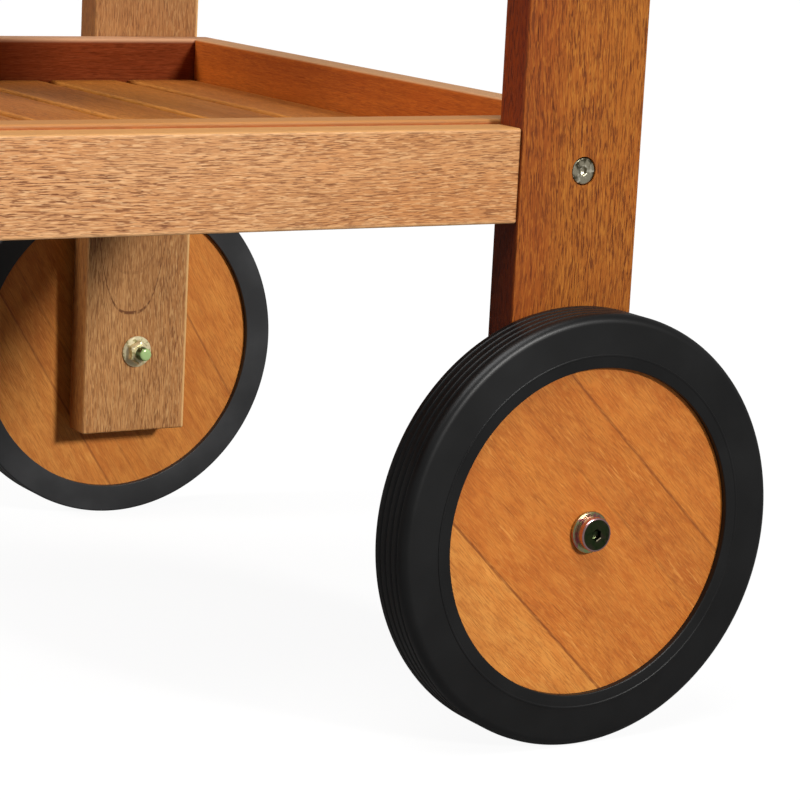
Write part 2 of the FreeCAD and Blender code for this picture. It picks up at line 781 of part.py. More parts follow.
def make_flange_nuts():
    """Hexagon nuts with a round flange, on the legs' inner faces."""
    nut = new_body("flange_nut_master", (0, 0, 0), node=False)
    face = -S.leg_stock
    top = face - S.nut_high
    corner, flat = S.nut_flats / math.sqrt(3), S.nut_flats / 2
    prism = nut.newObject("PartDesign::AdditivePrism", "Hexagon")
    prism.Polygon = 6
    bind(prism, "Circumradius", corner)
    bind(prism, "Height", S.nut_high)
    bind_place(prism, (0, 0, top))
    flange = S.nut_flange_dia / 2
    edge = face - S.nut_flange_high / 2
    neck = face - S.nut_flange_high - S.nut_flange_rise
    turned(nut, "Flange", [(0, face), (flange, face), (flange, edge), (flat, neck), (0, neck)])
    turned(nut, "Crown", [(flat, top), (corner, top), (corner, top + S.nut_crown)], "PartDesign::Groove")
    cut_round(nut, "Thread", S.axle_dia / 2 + S.drill_room / 2, S.nut_high, (0, 0, top))
    doc.recompute()
    group("flange_nuts", nut, wheel_places())


# ---------------------------------------------------------------- the whole cart

def make_cart():
    for side in (NEAR, FAR):
        for end in (HANDLE_END, WHEEL_END):
            make_leg(end, side)
    for tier in RAIL_TOP:
        for side in (NEAR, FAR):
            make_rail(tier, side)
            make_side_board(tier, side)
            make_cleat(tier, side)
        for end in (HANDLE_END, WHEEL_END):
            make_end_board(tier, end)
        for index in range(DRIVING["slat_count"]):
            make_slat(tier, index)
    make_handle_bar()
    make_dowels()
    make_slat_screws()
    make_joint_bolts()
    make_insert_nuts()
    make_glides()
    for side in (NEAR, FAR):
        make_tyre(side)
        make_disc(side)
        make_bush(side)
    make_axle_bolts()
    make_washers()
    make_spacers()
    make_flange_nuts()
    doc.recompute()


def check_document():
    """Stop unless every object computed, and every cut took something away."""
    for thing in doc.Objects:
        if "Invalid" in thing.State or "Error" in thing.State:
            raise RuntimeError("%s did not compute: %s" % (thing.Label, thing.State))
    for node in nodes:
        if node.Shape.isNull() or not node.Shape.isValid() or not node.Shape.Solids:
            raise RuntimeError("%s has no valid shape" % node.Label)
    for body in (thing for thing in doc.Objects if thing.isDerivedFrom("PartDesign::Body")):
        solid = [item for item in body.Group if item.isDerivedFrom("PartDesign::Feature")]
        for before, after in zip(solid, solid[1:]):
            cuts = "Subtractive" in after.TypeId or "Groove" in after.TypeId
            if cuts and after.Shape.Volume >= before.Shape.Volume - 1e-6:
                raise RuntimeError("%s in %s cut nothing" % (after.Label, body.Label))


def write_steps():
    os.makedirs("parts", exist_ok=True)
    for node in nodes:
        node.Shape.exportStep("parts/%s.step" % node.Label)
    print("%d nodes, %d solids" % (len(nodes), sum(len(node.Shape.Solids) for node in nodes)))


make_cart()
check_document()
write_steps()
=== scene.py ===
"""Looks of a two-tier garden serving cart: timber, tyres, plated fasteners and the stage.

The boards, rails, legs and slats keep their solid shapes and get a wood of their own. The
tyres and the visible fasteners are made again here as finer surfaces. Lengths are metres.
"""

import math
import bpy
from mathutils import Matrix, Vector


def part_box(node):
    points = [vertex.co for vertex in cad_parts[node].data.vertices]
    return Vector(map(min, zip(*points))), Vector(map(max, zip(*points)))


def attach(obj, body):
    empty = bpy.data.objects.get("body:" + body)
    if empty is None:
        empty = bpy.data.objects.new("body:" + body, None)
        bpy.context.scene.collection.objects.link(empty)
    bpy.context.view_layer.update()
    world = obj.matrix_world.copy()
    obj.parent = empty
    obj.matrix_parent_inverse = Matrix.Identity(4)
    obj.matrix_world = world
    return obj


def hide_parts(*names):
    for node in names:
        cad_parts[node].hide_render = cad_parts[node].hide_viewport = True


bl_info = {
    "name": "Garden Cart Finisher",
    "version": (1, 0, 0),
    "blender": (4, 5, 0),
    "location": "View3D > Sidebar > Garden Cart",
    "description": "Finishes the pieces of a wooden serving cart and sets up a plain studio",
    "category": "Object",
}

from functools import cached_property

import bmesh
import bpy
import numpy as np
from bpy.props import FloatProperty, FloatVectorProperty, PointerProperty
from bpy.types import Operator, Panel, PropertyGroup
from mathutils import Quaternion, Vector

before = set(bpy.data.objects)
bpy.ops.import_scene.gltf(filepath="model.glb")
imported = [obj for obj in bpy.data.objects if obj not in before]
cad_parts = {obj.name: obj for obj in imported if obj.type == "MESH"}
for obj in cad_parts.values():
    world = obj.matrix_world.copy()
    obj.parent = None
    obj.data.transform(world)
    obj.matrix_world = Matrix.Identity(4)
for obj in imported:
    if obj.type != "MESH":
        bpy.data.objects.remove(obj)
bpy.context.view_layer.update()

MM = 0.001
NEAR, FAR = -1, 1
SIDE_NAME = {NEAR: "near", FAR: "far"}
X_AXIS, Y_AXIS, Z_AXIS = Vector((1, 0, 0)), Vector((0, 1, 0)), Vector((0, 0, 1))


# ------------------------------------------------------------------ sizes from the frame

def middle(node):
    """Middle of a node's box."""
    low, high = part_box(node)
    return (low + high) / 2


def extent(node):
    """Edge lengths of a node's box."""
    low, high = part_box(node)
    return high - low


def nearest(node):
    """Smallest distance from the cart's middle plane to any point of a node."""
    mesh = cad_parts[node].data
    spots = np.empty(len(mesh.vertices) * 3, np.float32)
    mesh.vertices.foreach_get("co", spots)
    return float(np.abs(spots[1::3]).min())


HUB = {side: middle("tyre_" + SIDE_NAME[side]) for side in (NEAR, FAR)}
LEG_OUTER = {NEAR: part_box("leg_wheel_near")[0].y, FAR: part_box("leg_wheel_far")[1].y}
WHEEL_RADIUS = extent("tyre_near").z / 2
TYRE_INNER = LEG_OUTER[NEAR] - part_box("tyre_near")[1].y
TYRE_OUTER = LEG_OUTER[NEAR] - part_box("tyre_near")[0].y
DISC_RADIUS = extent("wheel_disc_near").z / 2
DISC_OUTER = LEG_OUTER[NEAR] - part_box("wheel_disc_near")[0].y
HEAD_TOP = LEG_OUTER[NEAR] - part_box("axle_bolts")[0].y
WASHER_TOP = LEG_OUTER[NEAR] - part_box("axle_washers")[0].y
LEG_STOCK = extent("leg_wheel_near").y


# ------------------------------------------------------------------ settings

def colour(label, note, default):
    """A colour in the sidebar."""
    return FloatVectorProperty(name=label, description=note, subtype="COLOR", size=3,
                               min=0.0, max=1.0, default=default)


def length(label, note, default):
    """A length in metres in the sidebar."""
    return FloatProperty(name=label, description=note, subtype="DISTANCE", unit="LENGTH",
                         min=0.0, default=default)


def bearing(label, note, degrees):
    """An angle in the sidebar, given here in degrees."""
    return FloatProperty(name=label, description=note, subtype="ANGLE", default=math.radians(degrees))


def number(label, note, default, unit="NONE"):
    """A plain number in the sidebar."""
    return FloatProperty(name=label, description=note, unit=unit, min=0.0, default=default)


class CartWoodSettings(PropertyGroup):
    """Colours of the oiled timber."""

    near_leg: colour("Near leg", "Red-brown of the legs on the near side", (0.36, 0.112, 0.012))
    far_leg: colour("Far leg", "Paler brown of the legs on the far side", (0.54, 0.27, 0.088))
    rail: colour("Rails", "Light tan of the rails", (0.60, 0.305, 0.125))
    board: colour("Tray boards", "Brown of the boards round the trays", (0.42, 0.105, 0.016))
    # The rim colour is a paler top: partly sanded wood, partly painted light from above.
    rim: colour("Rims", "Pale tan of the boards' sanded top edges", (0.40, 0.195, 0.058))
    slat: colour("Slats", "Brown of the tray slats", (0.50, 0.180, 0.028))
    disc: colour("Wheel discs", "Orange-brown of the wheel discs", (0.575, 0.212, 0.034))
    bar: colour("Push bar", "Brown of the turned push bar", (0.42, 0.15, 0.04))
    dowel: colour("Dowels", "Pale wood of the dowels", (0.60, 0.44, 0.27))


class CartWheelSettings(PropertyGroup):
    """Shape and colour of the tyres."""

    shoulder: length("Shoulder", "Radius of the rounded outer shoulder", 0.0046)
    heel: length("Heel", "Radius of the rounded inner edge", 0.0013)
    lip: length("Lip", "How far the tyre's lip reaches in over the disc", 0.0097)
    band_wide: length("Band width", "Width of the raised band round the lip", 0.0067)
    band_step: length("Band step", "How far the band stands proud of the sidewall", 0.00035)
    tread_pitch: length("Tread pitch", "Distance between tread grooves", 0.0048)
    tread_deep: length("Tread depth", "Depth of the tread grooves", 0.0016)
    tread_wide: length("Groove width", "Width of a tread groove at the surface", 0.0017)
    rubber: colour("Rubber", "Near-black of the tyres", (0.0035, 0.0036, 0.0038))


class CartHardwareSettings(PropertyGroup):
    """Sizes and plating of the fasteners."""

    axle_thread: length("Axle thread", "Diameter of the axle bolts' thread", 0.008)
    thread_pitch: length("Thread pitch", "Rise of one turn of the axle bolts' thread", 0.00125)
    nut_collar: length("Nut collar", "Diameter of the flange nuts' raised collar", 0.0105)
    axle_socket: length("Axle socket", "Width across flats of the axle bolts' sockets", 0.005)
    axle_socket_deep: length("Axle socket depth", "Depth of the axle bolts' sockets", 0.003)
    nut_flats: length("Nut flats", "Width across flats of the flange nuts", 0.013)
    joint_head: length("Connector head", "Diameter of the connector bolts' heads", 0.013)
    joint_socket: length("Connector socket", "Width across flats of the connector bolts' sockets", 0.004)
    joint_socket_deep: length("Connector socket depth", "Depth of the connector bolts' sockets", 0.0018)
    joint_shank: length("Connector shank", "Diameter of the connector bolts' shanks", 0.006)
    zinc: colour("Yellow zinc", "Plating of the axle bolts, washers and nuts", (0.92, 0.82, 0.52))
    nickel: colour("Nickel", "Plating of the connector bolts", (0.44, 0.40, 0.29))


class CartStageSettings(PropertyGroup):
    """Camera and lights."""

    azimuth: bearing("Azimuth", "Camera heading, 0 looks along +Y", 32.06)
    drop: bearing("Drop", "How far the camera looks down", 11.22)
    roll: bearing("Roll", "Tilt of the camera about its view", 2.96)
    lens: number("Lens", "Focal length in millimetres", 132.26, "CAMERA")
    distance: length("Distance", "From the camera to its aim point", 1.3836)
    key: number("Key light", "Strength of the main light", 2.65)
    side: number("Side light", "Strength of the light along the tray", 2.2)
    fill: number("Fill light", "Power of the overhead soft light", 60.0, "POWER")


# ------------------------------------------------------------------ shader building

class Socket:
    """A value in a node tree. Arithmetic on it adds Math nodes."""

    def __init__(self, graph, output):
        self.graph = graph
        self.output = output

    def math(self, operation, *others):
        values = dict(enumerate((self, *others)))
        return self.graph.add("ShaderNodeMath", {"operation": operation}, values)

    def __add__(self, other):
        return self.math("ADD", other)

    def __sub__(self, other):
        return self.math("SUBTRACT", other)

    def __mul__(self, other):
        return self.math("MULTIPLY", other)

    def __rsub__(self, other):
        return self.graph.add("ShaderNodeMath", {"operation": "SUBTRACT"}, {0: other, 1: self})

    __radd__ = __add__
    __rmul__ = __mul__

    def ramp(self, low, high):
        """0 below low, 1 above high, smooth between; the other way round when low is larger."""
        values = {"Value": self, "From Min": low, "From Max": high}
        if low > high:
            values.update({"From Min": high, "From Max": low, "To Min": 1.0, "To Max": 0.0})
        return self.graph.add("ShaderNodeMapRange", {"interpolation_type": "SMOOTHSTEP"}, values)


class Graph:
    """The node tree of a material or a world, its shader and the nodes that feed it."""

    def __init__(self, owner, shader="Principled BSDF"):
        owner.use_nodes = True
        self.owner = owner
        self.tree = owner.node_tree
        self.shader = self.tree.nodes[shader]

    @cached_property
    def spot(self):
        """Object coordinates."""
        return self.add("ShaderNodeTexCoord", {}, {}, "Object")

    def put(self, target, value):
        """Link a socket to a value's output, or set it to a plain value."""
        if isinstance(value, Socket):
            self.tree.links.new(value.output, target)
        elif isinstance(value, (tuple, list)) and len(value) == 3 and target.type == "RGBA":
            target.default_value = (*value, 1.0)
        else:
            target.default_value = value

    def add(self, kind, settings, values, output=0):
        """Make any node: its settings first, then the values or links of its sockets."""
        node = self.tree.nodes.new(kind)
        for name, value in settings.items():
            setattr(node, name, value)
        for name, value in values.items():
            self.put(node.inputs[name], value)
        return Socket(self, node.outputs[output])

    def set(self, **values):
        """Set or link sockets of the shader, named with underscores for spaces."""
        for name, value in values.items():
            self.put(self.shader.inputs[name.replace("_", " ")], value)

    def along(self, vector, direction):
        """Distance of a point along a fixed direction."""
        return self.add("ShaderNodeVectorMath", {"operation": "DOT_PRODUCT"},
                        {0: vector, 1: tuple(direction)}, "Value")

    def vector(self, x, y, z):
        """A point with these coordinates."""
        return self.add("ShaderNodeCombineXYZ", {}, {"X": x, "Y": y, "Z": z})

    def noise(self, vector, detail=2.0, roughness=0.5, scale=1.0):
        values = {"Vector": vector, "Scale": scale, "Detail": detail, "Roughness": roughness}
        return self.add("ShaderNodeTexNoise", {}, values, "Fac")

    def mix(self, share, first, second, blend="MIX"):
        """Blend of two colours."""
        settings = {"data_type": "RGBA", "blend_type": blend}
        return self.add("ShaderNodeMix", settings, {0: share, 6: first, 7: second}, 2)

    def tinted(self, share, body, factor):
        """A colour multiplied by a factor for each channel, in the share given."""
        return self.mix(share, body, self.mix(1.0, body, factor, "MULTIPLY"))

    def bump(self, height, distance, strength):
        """Normal of a surface raised by a height of 0 to 1 times a distance."""
        values = {"Height": height, "Distance": distance, "Strength": strength}
        return self.add("ShaderNodeBump", {}, values)


def new_material(name):
    """The graph of a new material."""
    return Graph(bpy.data.materials.new(name))


def shade(colour_value, factor):
    """A colour made lighter or darker, or tinted by a factor for each channel."""
    factors = factor if isinstance(factor, tuple) else (factor,) * 3
    return tuple(min(1.0, channel * share) for channel, share in zip(colour_value, factors))


def paint(piece, material):
    """Give a piece one material in every slot."""
    if not piece.data.materials:
        piece.data.materials.append(material)
    for place in range(len(piece.data.materials)):
        piece.data.materials[place] = material


# ------------------------------------------------------------------ wood

# Layers of noise: waves to the metre along the grain and across it, detail, roughness.
TONE_BANDS = (3.0, 38.0, 3.0, 0.6)
FIBRES = (26.0, 520.0, 3.0, 0.6)
HAIRS = (170.0, 2300.0, 1.0)
CLOUDS = (13.0, 19.0, 2.0)
BLOTCHES = (62.0, 170.0, 3.0, 0.6)
DASHES = (135.0, 1850.0, 2.0, 0.6)
DASH_PATCHES = (9.0, 42.0, 2.0)
PORES = (48.0, 1050.0, 1.0)
PORE_PATCHES = (17.0, 130.0, 1.0)
PALE_STREAKS = (160.0, 1500.0, 1.0)
FLECKS = (90.0, 700.0, 1.0)
FLECK_PATCHES = (20.0, 60.0, 1.0)
LINE_BREAKS = (330.0, 520.0, 1.0)

# How far the noise of one board lies from the noise of a board whose seed is one higher.
SEED_STEP = 3.7

# What the wood's own colour is multiplied by in each kind of mark.
LIGHT_BAND, DARK_BAND = (1.20, 1.26, 1.36), (0.70, 0.58, 0.44)
WARM_CLOUD = (1.06, 0.84, 0.62)
LIGHT_BLOTCH, DARK_BLOTCH = (1.18, 1.32, 1.5), (0.86, 0.74, 0.62)
DARK_DASH, DARK_PORE, DARK_HAIR = (0.24, 0.13, 0.07), (0.22, 0.12, 0.08), (0.60, 0.46, 0.36)
PALE_STREAK, PALE_FLECK = (1.25, 1.42, 1.62), (1.5, 1.8, 2.4)
ARCH_LINE, ARCH_INSIDE = (0.30, 0.20, 0.13), (0.72, 0.62, 0.5)
# The rubbed edge factor makes edges paler: partly wear from handling, partly a painted highlight on the
# eased edges.
RUBBED_AND_LIT_EDGE, END_GRAIN = (1.42, 1.7, 2.0), (0.5, 0.4, 0.34)
GLUE_LINE = (0.38, 0.25, 0.16)


def grain_frame(grain, turn=0.0):
    """Unit vectors along the grain, across the board's face and through it."""
    if grain == "X":
        return X_AXIS, Z_AXIS, Y_AXIS
    if grain == "Y":
        return Y_AXIS, X_AXIS, Z_AXIS
    if grain == "Z":
        return Z_AXIS, X_AXIS, Y_AXIS
    cosine, sine = math.cos(turn), math.sin(turn)
    return Vector((cosine, 0, sine)), Vector((-sine, 0, cosine)), Y_AXIS


class Grain:
    """Coordinates in a board: metres along, across and through it, and noise drawn out along it."""

    def __init__(self, graph, axes, seed):
        self.graph = graph
        self.run, self.side, self.deep = (graph.along(graph.spot, axis) for axis in axes)
        slow = graph.vector(self.run * 5.0, self.side * 9.0, self.deep * 9.0 + seed)
        self.bent = self.side + (graph.noise(slow, 1.0) - 0.5) * (12 * MM)
        self.seed = seed

    def noise(self, along, across, detail=2.0, roughness=0.55):
        """Noise with a number of waves to the metre along the grain and another across it."""
        spot = self.graph.vector(self.run * along + self.seed * SEED_STEP, self.bent * across,
                                 self.deep * across)
        return self.graph.noise(spot, detail, roughness)


def inset(coordinate, low, high):
    """Distance of a point in from the nearer of two ends."""
    return (high - low) / 2 - (coordinate - (high + low) / 2).math("ABSOLUTE")


def oiled_wood(name, base, grain, seed, turn=0.0, dashes=0.6, pores=0.5, bands=0.5, fibres=0.5,
               mottle=0.0, flecks=0.0, crowd=None, staves=None, arches=None, tints=(), box=None,
               rub=(0.3, 0.3), rim=None, rim_deep=1.2 * MM, gloss=0.30):
    """Oiled hardwood. Broad noise drawn out along the grain gives the tone and finer noise the
    fibre. Thresholded noise gives short dark dashes and longer pores, and both are pitted. Each
    tint is (direction, start, end, factor): the factor comes in smoothly from start to end."""
    graph = new_material(name)
    axes = grain_frame(grain, turn)
    wood = Grain(graph, axes, seed)
    tone = wood.noise(*TONE_BANDS).ramp(0.3, 0.7)
    fibre = wood.noise(*FIBRES).ramp(0.25, 0.75)
    lightness = tone * bands + fibre * fibres + (0.5 - (bands + fibres) / 2)
    body = graph.mix(lightness, shade(base, DARK_BAND), shade(base, LIGHT_BAND))
    body = graph.mix(wood.noise(*CLOUDS).ramp(0.32, 0.7) * 0.4, body, shade(base, WARM_CLOUD))
    if mottle:
        blotch = wood.noise(*BLOTCHES)
        body = graph.mix(blotch.ramp(0.42, 0.66) * mottle, body, shade(base, LIGHT_BLOTCH))
        body = graph.mix(blotch.ramp(0.48, 0.30) * mottle, body, shade(base, DARK_BLOTCH))
    if staves:
        across = graph.along(graph.spot, axes[1]) - HUB[NEAR].dot(axes[1])
        body = stave_tones(graph, body, across, staves, base)
    dash, pore, hair = wood_pits(wood, crowd)
    body = graph.mix(dash * dashes, body, shade(base, DARK_DASH))
    body = graph.mix(pore * pores, body, shade(base, DARK_PORE))
    pale = wood.noise(*PALE_STREAKS).ramp(0.54, 0.64)
    body = graph.mix(pale * dashes * 0.8, body, shade(base, PALE_STREAK))
    body = graph.mix(hair.ramp(0.35, 0.65) * fibres * 0.8, body, shade(base, DARK_HAIR))
    if arches:
        body = arch_lines(graph, wood, body, arches, base)
    if flecks:
        fleck = wood.noise(*FLECKS).ramp(0.60, 0.70) * wood.noise(*FLECK_PATCHES).ramp(0.5, 0.65)
        body = graph.mix(fleck * flecks, body, shade(base, PALE_FLECK))
    for direction, start, end, factor in tints:
        place = wood.run if direction == "run" else wood.side
        body = graph.tinted(place.ramp(start, end), body, factor)
    if box:
        body = edge_wear_and_highlights(graph, wood, axes, body, box, base, rub, rim, rim_deep)
    height = dash * -0.5 - pore + hair * 0.4 + fibre * 0.2
    graph.set(Base_Color=body, Roughness=0.56 - tone * 0.10 + pore * 0.2,
              Specular_IOR_Level=gloss, Normal=graph.bump(height, 0.12 * MM, 0.6))
    return graph.owner


def wood_pits(wood, crowd):
    """Short dashes, longer pores and fine hairs. Dashes and pores gather in patches, and the
    pores are densest beyond the two distances across the board that crowd gives."""
    dash = wood.noise(*DASHES).ramp(0.50, 0.59)
    dash = dash * (wood.noise(*DASH_PATCHES).ramp(0.3, 0.72) * 0.4 + 0.6)
    where = wood.noise(*PORE_PATCHES).ramp(0.42, 0.62)
    if crowd:
        where = where.math("MAXIMUM", wood.bent.ramp(*crowd) * 0.95)
    return dash, wood.noise(*PORES).ramp(0.62, 0.70) * where, wood.noise(*HAIRS)


def arch_lines(graph, wood, body, arches, base):
    """An arched growth line at run = lowest + steepness * |across| cubed, and a fainter one a
    spacing higher."""
    centre, lowest, steepness, spacing = arches
    across = (wood.bent - centre).math("ABSOLUTE")
    rise = wood.run - lowest - across * across * across * steepness
    line = (rise * (2 * math.pi / spacing)).math("COSINE").ramp(0.945, 0.995)
    line = line * rise.ramp(-0.4 * spacing, -0.3 * spacing) * rise.ramp(1.4 * spacing, 0.3 * spacing)
    broken = wood.noise(*LINE_BREAKS).ramp(0.30, 0.55)
    inside = rise.ramp(0.0, 0.8 * spacing) * 0.22
    body = graph.mix(inside, body, shade(base, ARCH_INSIDE))
    return graph.mix(line * broken, body, shade(base, ARCH_LINE))


def edge_wear_and_highlights(graph, wood, axes, body, box, base, rub, rim, rim_deep):
    """Darker end grain, long edges made paler by a share for each side of the board, which is
    rubbed wear together with a painted highlight where the eased edges catch the light, and a paler
    top where the board has one, which is a sanded edge together with painted light from above."""
    low, high = box
    ends, side, deep = (inset(value, low.dot(axis), high.dot(axis))
                        for value, axis in zip((wood.run, wood.side, wood.deep), axes))
    half_way = (low + high).dot(axes[1]) / 2
    share = wood.side.ramp(half_way - MM, half_way + MM) * (rub[1] - rub[0]) + rub[0]
    # Paler long edges: rubbed wear plus a painted highlight; the share for each side makes the highlight
    # one-sided where light falls from one side.
    rubbed = side.math("MAXIMUM", deep).ramp(2.6 * MM, 0.6 * MM)
    body = graph.mix(rubbed * share, body, shade(base, RUBBED_AND_LIT_EDGE))
    body = graph.mix(ends.ramp(0.6 * MM, 0.1 * MM) * 0.55, body, shade(base, END_GRAIN))
    # Paler top strip: a sanded edge together with painted light from above.
    if rim:
        top = graph.along(graph.spot, Z_AXIS).ramp(high.z - rim_deep, high.z - rim_deep / 6)
        body = graph.mix(top * 0.8, body, rim)
    return body


def stave_tones(graph, body, across, staves, base):
    """Staves of a disc with a dark glue line before each: (start, factor, darkness of the line).
    A factor holds for everything beyond its start, on top of those before it."""
    for edge, factor, line in staves:
        body = graph.tinted(across.ramp(edge - 0.2 * MM, edge + 0.2 * MM), body, factor)
        glue = (across - edge).math("ABSOLUTE").ramp(1.0 * MM, 0.3 * MM)
        body = graph.mix(glue * line, body, shade(base, GLUE_LINE))
    return body


def wood_node(node, base, grain, boxed=True, **options):
    """Finish one solid of timber, with its own part of the tree and its own slight tint."""
    seed = sum(ord(letter) * (place + 3) for place, letter in enumerate(node)) % 97
    vary = np.random.default_rng(seed).uniform(-1, 1, 2)
    tinted = shade(base, (1 + 0.05 * vary[0], 1 + 0.07 * vary[0], 1 + 0.07 * vary[0] + 0.05 * vary[1]))
    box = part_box(node) if boxed else None
    paint(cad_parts[node], oiled_wood("wood_" + node, tinted, grain, seed, box=box, **options))


# ------------------------------------------------------------------ other finishes

def tyre_rubber(name, base):
    """Moulded rubber: near black, satin, with a faint bloom and a fine moulded texture."""
    graph = new_material(name)
    bloom = graph.noise(graph.spot, 3.0, scale=26.0)
    pebble = graph.noise(graph.spot, 2.0, scale=1500.0)
    tone = graph.mix(bloom.ramp(0.35, 0.75), base, shade(base, 1.7))
    graph.set(Base_Color=tone, Roughness=0.33 + bloom * 0.10, Specular_IOR_Level=0.27,
              Normal=graph.bump(pebble, 0.06 * MM, 0.4))
    return graph.owner


def plated_steel(name, base, tints, roughness, metal=1.0, tip=None, ring=None):
    """Passivated plating: metal whose colour drifts between thin-film tints. An axle bolt has
    a pale rosy band round the rim of its head, which is the plating's tint with a painted highlight,
    and colours of its own at the end that stands out behind its leg."""
    graph = new_material(name)
    drift = graph.noise(graph.spot, 2.0, scale=190.0)
    patch = graph.noise(graph.spot, 1.0, scale=330.0)
    grit = graph.noise(graph.spot, 2.0, scale=2600.0)
    tone = graph.mix(drift.ramp(0.44, 0.60), base, tints[0])
    tone = graph.mix(patch.ramp(0.52, 0.66), tone, tints[1])
    if tip:
        x, z = (graph.along(graph.spot, axis) - HUB[NEAR].dot(axis) for axis in (X_AXIS, Z_AXIS))
        head = extent("axle_bolts").z / 2
        from_axis = (x * x + z * z).math("SQRT")
        # Pale rosy rim and side of the head: the plating's thin-film tint together with a painted
        # highlight.
        tone = graph.mix(from_axis.ramp(head - 1.1 * MM, head - 0.7 * MM), tone, ring)
        inner, end = abs(LEG_OUTER[FAR]) - LEG_STOCK, nearest("axle_bolts")
        away = graph.along(graph.spot, Y_AXIS).math("ABSOLUTE")
        tone = graph.mix(away.ramp(inner, inner - MM), tone, shade(tip, (0.6, 0.5, 0.5)))
        face = away.ramp(end + 1.5 * MM, end + 0.7 * MM)
        tone = graph.mix(face, tone, tip)
        metal = metal - face * 0.7
    graph.set(Base_Color=tone, Metallic=metal, Roughness=roughness + grit * 0.12,
              Normal=graph.bump(grit, 0.02 * MM, 0.4))
    return graph.owner


def moulded_plastic(name, base):
    """Plain moulded nylon with a faint texture."""
    graph = new_material(name)
    grit = graph.noise(graph.spot, scale=900.0)
    graph.set(Base_Color=graph.mix(grit, shade(base, 0.8), shade(base, 1.3)), Roughness=0.5,
              Normal=graph.bump(grit, 0.03 * MM, 0.3))
    return graph.owner


# ------------------------------------------------------------------ turned surfaces

# Edges sharper than this many degrees stay crisp, and an arc has this many points.
SHARP_ANGLE = 38.0
ARC_POINTS = 7


def rounded(corners):
    """Outline through corners (radius, height, rounding). Each rounding is an arc that
    touches both sides, at the distance rounding / tan(half the corner's angle)."""
    corners = np.array(corners, float)
    spots, count = [], len(corners)
    for place in range(count):
        here, size = corners[place, :2], corners[place, 2]
        if size <= 0:
            spots.append(here[None])
            continue
        before = corners[(place - 1) % count, :2] - here
        after = corners[(place + 1) % count, :2] - here
        before /= np.linalg.norm(before)
        after /= np.linalg.norm(after)
        half = math.acos(np.clip(before @ after, -1, 1)) / 2
        middle_way = (before + after) / np.linalg.norm(before + after)
        centre = here + middle_way * size / math.sin(half)
        first = here + before * size / math.tan(half) - centre
        last = here + after * size / math.tan(half) - centre
        sweep = math.atan2(first[0] * last[1] - first[1] * last[0], first @ last)
        turn = np.linspace(0, sweep, ARC_POINTS)
        spots.append(centre + np.stack([first[0] * np.cos(turn) - first[1] * np.sin(turn),
                                        first[0] * np.sin(turn) + first[1] * np.cos(turn)], 1))
    return np.concatenate(spots)


def hexagon(angle, flats):
    """Radius of a hexagon of a width across flats, at each angle."""
    return flats / 2 / np.cos((angle + math.pi / 6) % (math.pi / 3) - math.pi / 6)


def angles(turns):
    """A column of evenly spaced angles round one turn."""
    return np.linspace(0, 2 * np.pi, turns, endpoint=False)[:, None]


def shell(radius, height, centre, side, closed=False):
    """Points (x + radius cos a, outwards by height, z + radius sin a) about an axis along Y, with
    the angle a round one way and the outline the other, and the quads between them."""
    turns, count = radius.shape
    angle = angles(turns)
    x, y, z = centre
    points = np.stack([x + radius * np.cos(angle), y + side * (height + 0 * radius),
                       z + radius * np.sin(angle)], -1)
    rows = np.arange(turns)[:, None]
    columns = np.arange(count if closed else count - 1)[None]
    next_rows, next_columns = (rows + 1) % turns, (columns + 1) % count
    quads = np.stack([rows * count + columns, next_rows * count + columns,
                      next_rows * count + next_columns, rows * count + next_columns], -1)
    return points.reshape(-1, 3), quads.reshape(-1, 4)


def assembled(name, shells):
    """One object from several shells: points on an axis merged, faces turned outwards."""
    starts = np.cumsum([0] + [len(points) for points, quads in shells])
    points = np.concatenate([points for points, quads in shells])
    quads = np.concatenate([quads + start for (_, quads), start in zip(shells, starts)])
    mesh = bpy.data.meshes.new(name)
    mesh.from_pydata(points, [], quads.tolist())
    body = bmesh.new()
    body.from_mesh(mesh)
    bmesh.ops.remove_doubles(body, verts=body.verts, dist=1e-6)
    bmesh.ops.dissolve_degenerate(body, edges=body.edges, dist=1e-7)
    bmesh.ops.recalc_face_normals(body, faces=body.faces)
    body.to_mesh(mesh)
    body.free()
    mesh.polygons.foreach_set("use_smooth", [True] * len(mesh.polygons))
    mesh.set_sharp_from_angle(angle=math.radians(SHARP_ANGLE))
    piece = bpy.data.objects.new(name, mesh)
    bpy.context.scene.collection.objects.link(piece)
    return piece


def turned(outline, centre, side, turns):
    """A plain turned shell from a closed outline of (radius, height) points."""
    radius = np.repeat(outline[None, :, 0], turns, 0)
    return shell(radius, outline[:, 1], centre, side, True)


def socket_head(outline, flats, depth, turns):
    """Grid of radii and heights of a head with a hexagon socket: across the socket's floor, up
    its six walls, over a small chamfer and down the head's own outline."""
    angle = angles(turns)
    top = outline[0, 1]
    chamfer = flats * 0.06
    hexagonal = hexagon(angle, flats)
    dimple = [0 * hexagonal, hexagonal * 0.5, hexagonal, hexagonal, hexagonal + chamfer]
    heights = [top - depth - chamfer * 2, top - depth - chamfer, top - depth, top - chamfer, top]
    radius = np.concatenate(dimple + [np.repeat(outline[None, :, 0], turns, 0)], 1)
    return radius, np.concatenate([heights, outline[:, 1]])


def wheel_centre(side):
    """Point on a wheel's axle, level with its leg's outer face."""
    return HUB[side].x, LEG_OUTER[side], HUB[side].z


def fit(piece, body, nodes, slot, material):
    """Hand a new piece to its body in place of solids."""
    paint(piece, material)
    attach(piece, body)
    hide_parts(*nodes)


